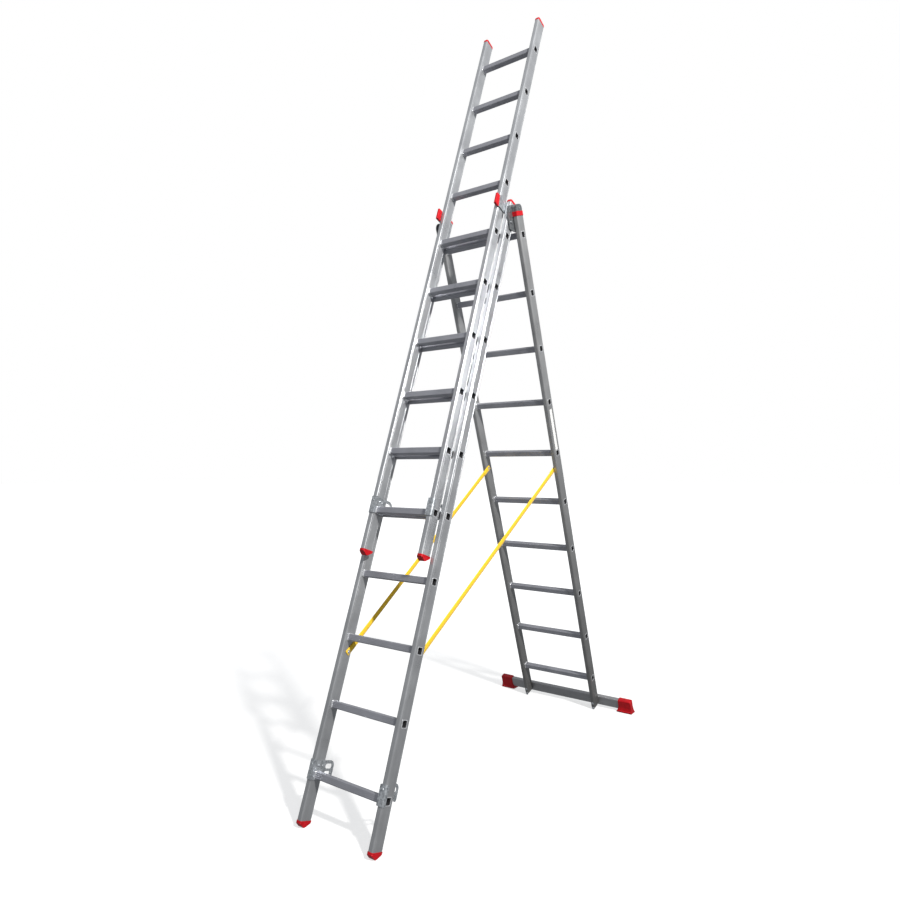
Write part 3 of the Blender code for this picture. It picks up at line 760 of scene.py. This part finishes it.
def hinge_plate(word, side):
    """Plate on the rear stile's inner web that carries the pivot, with a rounded head over the stile."""
    web = WIDTH["rear"] / 2 - STILE_W - GAP
    back = NEST + STILE_D / 2
    front = NEST - STILE_D / 2
    top = 0.077
    outline = [(-0.024, -0.030), (0.005, -0.044), (0.030, -0.049), (back - 0.010, -0.049)]
    outline += arc(back - 0.022, top - 0.022, 0.022, 0, 90, 12)
    outline += arc(0.006, top - 0.030, 0.030, 90, 180, 12)
    bm = bmesh.new()
    plate(bm, outline, web - PLATE, web)
    bottom = FIRST["rear"] + ABOVE["rear"] + 0.0103
    head = [(front, bottom), (back, bottom)]
    head += arc(back - 0.022, top - 0.022, 0.022, 15, 90, 10)
    head += arc(front + 0.012, top - 0.012, 0.012, 90, 172, 8)
    plate(bm, head, web - 0.001, WIDTH["rear"] / 2)
    dome(bm, (web, 0.0, 0.0), (1, 0, 0), 0.0085, 0.004)
    hexagon(bm, (web - PLATE, 0.014, 0.056), (-1, 0, 0), 0.010, 0.0022)
    hexagon(bm, (WIDTH["rear"] / 2, 0.050, 0.058), (1, 0, 0), 0.011, 0.0022)
    dome(bm, (web, 0.004, 0.050), (1, 0, 0), 0.0050, 0.0026, 0.0068)
    turns = [2 * pi * i / 24 for i in range(24)]
    stud = [(0.005 * cos(t), 0.005 * sin(t)) for t in turns]
    loft(bm, [[(x, y, z) for y, z in stud] for x in (WIDTH["front"] / 2 - 0.007, web - 0.001)])
    mirrored(bm, side)
    name = f"hinge_plate_{word}"
    return piece(name + "_look", bm, "rear", SHADED_HINGE_ZINC, [name], bevel=0.0006)


# ---- stabiliser ----
def stabiliser():
    """Rectangular tube across the rear leg's foot, bolted through both stiles."""
    outer = rounded(BAR_D, BAR_H, 0.004, 0.004, 5, 5)
    inner = rounded(BAR_D - 2 * WALL, BAR_H - 2 * WALL, 0.0025, 0.0025, 5, 5)
    cy = BAR_FRONT + BAR_D / 2
    cz = BAR_TOP - BAR_H / 2
    bm = bmesh.new()
    outer = [(y + cy, z + cz) for y, z in outer]
    inner = [(y + cy, z + cz) for y, z in inner]
    tube(bm, outer, inner, -BAR_HALF, BAR_HALF, "x")
    piece("stabiliser_bar_look", bm, "rear", BAR_METAL, ["stabiliser_bar"])
    bolts = bmesh.new()
    for side in SIDES.values():
        for dz in (-0.016, 0.016):
            x = side * (WIDTH["rear"] - STILE_W) / 2
            hexagon(bolts, (x, BAR_FRONT + BAR_D, cz + dz), (0, 1, 0), 0.011, 0.0045)
            dome(bolts, (x, NEST - STILE_D / 2, cz + dz), (0, -1, 0), 0.006, 0.0026, 0.0085)
    piece("stabiliser_bolts", bolts, "rear", ZINC, bevel=0.0003)


def floor_height(y):
    """Height of the floor in the rear frame, at y behind the hinge axis."""
    return (-PIVOT.z - y * sin(REAR_LEAN)) / cos(REAR_LEAN)


def shoe(word, side):
    """Moulded shoe on the bar's end, flaring into a flat sole."""
    wall = 0.005
    y0 = BAR_FRONT - wall
    y1 = BAR_FRONT + BAR_D + wall
    top = BAR_TOP + wall
    waist = BAR_TOP - BAR_H + 0.012
    flare = 0.010

    def ring(grow, height, inset=0.0):
        x0 = 0.360 - grow + inset
        x1 = 0.440 + grow * 0.3 - inset
        a = y0 - grow + inset
        b = y1 + grow - inset
        radius = 0.006
        points = arc(x0 + radius, a + radius, radius, 180, 270, 4)
        points += arc(x1 - radius, a + radius, radius, 270, 360, 4)
        points += arc(x1 - radius, b - radius, radius, 0, 90, 4)
        points += arc(x0 + radius, b - radius, radius, 90, 180, 4)
        return [(x, y, height(y)) for x, y in points]

    rings = [
        ring(flare, floor_height, 0.0015),
        ring(flare, lambda y: floor_height(y) + 0.002),
        ring(flare, lambda y: floor_height(y) + 0.009),
        ring(flare * 0.55, lambda y: floor_height(y) + 0.013),
        ring(0.0015, lambda y: waist),
        ring(0.0, lambda y: waist + 0.006),
        ring(0.0, lambda y: top - 0.007),
        ring(0.0, lambda y: top - 0.003, 0.0015),
        ring(0.0, lambda y: top, 0.006),
    ]
    bm = bmesh.new()
    loft(bm, rings)
    mirrored(bm, side)
    name = f"stabiliser_foot_{word}"
    return piece(name + "_look", bm, "rear", RED, [name], angle=40)


# ---- straps ----
def strap(word, side):
    """Taut webbing band; each end is folded back, stitched, and riveted to a stile's inner web."""
    a = MATRIX["front"] @ Vector((0.0, 0.010, STRAP_LOW))
    b = MATRIX["rear"] @ Vector((0.0, NEST - 0.008, STRAP_HIGH))
    run = b - a
    along = run.normalized()
    across = Vector((0.0, -along.z, along.y))
    x_a = WIDTH["front"] / 2 - STILE_W - 0.0008
    x_b = WIDTH["rear"] / 2 - STILE_W - 0.0008
    thick = STRAP_THICKNESS
    tail = 0.030
    length = run.length

    def x_at(t):
        k = min(1.0, max(0.0, (t - tail) / (length - 2 * tail)))
        return x_a + (x_b - x_a) * k

    def band(bm, start, end, steps, lift, fold=0.0):
        """One layer of webbing between two distances along the run, lifted off the web."""
        uv = bm.loops.layers.uv.verify()
        rows = []
        for i in range(steps + 1):
            t = start + (end - start) * i / steps
            centre = Vector((x_at(t) - lift, a.y, a.z)) + along * t
            centre.x -= fold * sin(pi * i / steps)
            row = []
            profile = [(-1, 0.0), (-0.94, 0.5), (0.94, 0.5), (1, 0.0), (0.94, -0.5), (-0.94, -0.5)]
            for v, w in profile:
                p = centre + across * (v * STRAP_WIDTH / 2) + Vector((w * thick, 0.0, 0.0))
                row.append((bm.verts.new((side * p.x, p.y, p.z)), t, v * STRAP_WIDTH / 2 + w * 0.001))
            rows.append(row)
        for lower, upper in zip(rows, rows[1:]):
            for i in range(len(lower)):
                j = (i + 1) % len(lower)
                quad = [lower[i], lower[j], upper[j], upper[i]]
                face = bm.faces.new([q[0] for q in quad])
                for loop, q in zip(face.loops, quad):
                    loop[uv].uv = (q[1], q[2])
        bm.faces.new([q[0] for q in rows[0]][::-1])
        bm.faces.new([q[0] for q in rows[-1]])

    bm = bmesh.new()
    band(bm, -0.012, length + 0.012, 110, 0.0)
    band(bm, -0.012, 0.075, 8, thick * 1.15, 0.0008)
    band(bm, length - 0.060, length + 0.012, 8, thick * 1.15, 0.0008)
    thing = new_object(f"strap_{word}_look", bm, YELLOW, 50)
    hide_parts(f"strap_{word}")
    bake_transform(thing)

    for label, origin, body, x in (("lower", a, "front", x_a), ("upper", b, "rear", x_b)):
        end = Vector((side * (x - thick * 1.7), origin.y, origin.z))
        stud = bmesh.new()
        dome(stud, end, (-side, 0, 0), 0.0042, 0.0026, 0.0085)
        placed(f"strap_rivet_{label}_{word}", stud, RIVET, body)
        stitches = bmesh.new()
        sign = 1 if label == "lower" else -1
        for step in (0.030, 0.046):
            for v in range(-4, 5):
                spot = end + along * sign * step + across * (v * 0.0024)
                shape = Matrix.Translation(spot) @ Matrix.Diagonal((0.0005, 0.0009, 0.0009, 1.0))
                bmesh.ops.create_cube(stitches, size=2.0, matrix=shape)
        placed(f"strap_stitching_{label}_{word}", stitches, THREAD, body)


def placed(name, bm, material, body):
    """A small piece already drawn in the part's own frame."""
    thing = new_object(name, bm, material)
    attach(thing, body)
    return thing


def label():
    """Blank label on the rear right stile's outer web."""
    x = WIDTH["rear"] / 2
    bm = bmesh.new()
    front = NEST - 0.015
    back = NEST + 0.010
    outline = [(front, -1.165), (back, -1.165), (back, -0.945), (front, -0.945)]
    plate(bm, outline, x + 0.0001, x + 0.0004)
    piece("blank_label", bm, "rear", LABEL)


# ---- build the object ----
for section in ("front", "extension", "rear"):
    for number, height in enumerate(rung_heights(section), start=1):
        rung(section, number, height)
    for word, side in SIDES.items():
        stile(section, word, side)
for word, side in SIDES.items():
    top_cap("front", word, side)
    top_cap("extension", word, side)
    bottom_cap("front", side, f"front_foot_{word}")
    bottom_cap("extension", side, f"extension_bottom_cap_{word}")
    rear_cap(word, side)
    hook("front", word, side)
    hook("extension", word, side)
    guide(word, side)
    hinge_plate(word, side)
    shoe(word, side)
    strap(word, side)
stabiliser()
label()


# ---- floor, light and camera ----
def stage_floor():
    """Pale paper floor that glows a little, so that its far part stays as pale as its near part."""
    mesh = bpy.data.meshes.new("floor")
    size = 60.0
    corners = [(-size, -size, 0), (size, -size, 0), (size, size, 0), (-size, size, 0)]
    mesh.from_pydata(corners, [], [(0, 1, 2, 3)])
    shader = Shader("floor_paper", (0.5, 0.5, 0.5), 0.0, 0.95)
    clouds = shader.noise(0.6, 2.0)
    paper = shader.ramp(clouds, 0.3, 0.7, 0.0, 1.0)
    shader.colour(shader.mix(paper, (0.49, 0.49, 0.49), (0.51, 0.51, 0.51)))
    shader.shader.inputs["Emission Color"].default_value = (1.0, 1.0, 1.0, 1.0)
    reach = shader.tree.nodes.new("ShaderNodeVectorMath")
    reach.operation = "LENGTH"
    shader.link(shader.coords.outputs["Object"], reach.inputs[0])
    strength = shader.ramp(reach.outputs["Value"], 0.8, 5.0, 0.60, 1.0)
    shader.link(strength, shader.shader.inputs["Emission Strength"])
    mesh.materials.append(shader.material)
    floor = bpy.data.objects.new("studio_floor", mesh)
    floor.visible_diffuse = False
    floor.visible_glossy = False
    bpy.context.scene.collection.objects.link(floor)


def area_light(name, place, target, size, power, colour=(1.0, 1.0, 1.0)):
    data = bpy.data.lights.new(name, "AREA")
    data.shape = "DISK"
    data.size = size
    data.energy = power
    data.color = colour
    lamp = bpy.data.objects.new(name, data)
    lamp.location = place
    lamp.rotation_euler = (Vector(target) - Vector(place)).to_track_quat("-Z", "Y").to_euler()
    bpy.context.scene.collection.objects.link(lamp)


def world_light():
    """White backdrop for the camera; the light it gives is strong overhead and weak from below."""
    world = bpy.data.worlds.new("studio")
    world.use_nodes = True
    bpy.context.scene.world = world
    tree = world.node_tree
    glow = tree.nodes["Background"]
    glow.inputs["Color"].default_value = (0.93, 0.96, 1.0, 1.0)
    coords = tree.nodes.new("ShaderNodeTexCoord")
    split = tree.nodes.new("ShaderNodeSeparateXYZ")
    tree.links.new(coords.outputs["Generated"], split.inputs[0])
    fade = tree.nodes.new("ShaderNodeMapRange")
    fade.inputs["From Min"].default_value = -0.35
    fade.inputs["From Max"].default_value = 0.75
    fade.inputs["To Min"].default_value = SKY_LOW
    fade.inputs["To Max"].default_value = SKY_HIGH
    tree.links.new(split.outputs["Z"], fade.inputs["Value"])
    tree.links.new(fade.outputs["Result"], glow.inputs["Strength"])
    white = tree.nodes.new("ShaderNodeBackground")
    white.inputs["Color"].default_value = (1.0, 1.0, 1.0, 1.0)
    path = tree.nodes.new("ShaderNodeLightPath")
    mix = tree.nodes.new("ShaderNodeMixShader")
    tree.links.new(path.outputs["Is Camera Ray"], mix.inputs[0])
    tree.links.new(glow.outputs[0], mix.inputs[1])
    tree.links.new(white.outputs[0], mix.inputs[2])
    tree.links.new(mix.outputs[0], tree.nodes["World Output"].inputs["Surface"])


def camera():
    data = bpy.data.cameras.new("camera")
    data.sensor_width = 36.0
    data.lens = 26.92
    data.shift_x = -0.00525
    data.shift_y = 0.0260
    thing = bpy.data.objects.new("camera", data)
    thing.location = (1.8731, -2.8046 + PIVOT.y, 1.4487)
    thing.rotation_euler = (radians(90 - 0.54), 0.0, radians(35.43))
    bpy.context.scene.collection.objects.link(thing)
    bpy.context.scene.camera = thing


stage_floor()
world_light()
area_light("key", (4.3, -1.9, 4.9), (0.0, -0.1, 2.2), 0.45, 480.0, (1.0, 0.985, 0.96))
camera()
bpy.context.scene.view_settings.view_transform = "Standard"
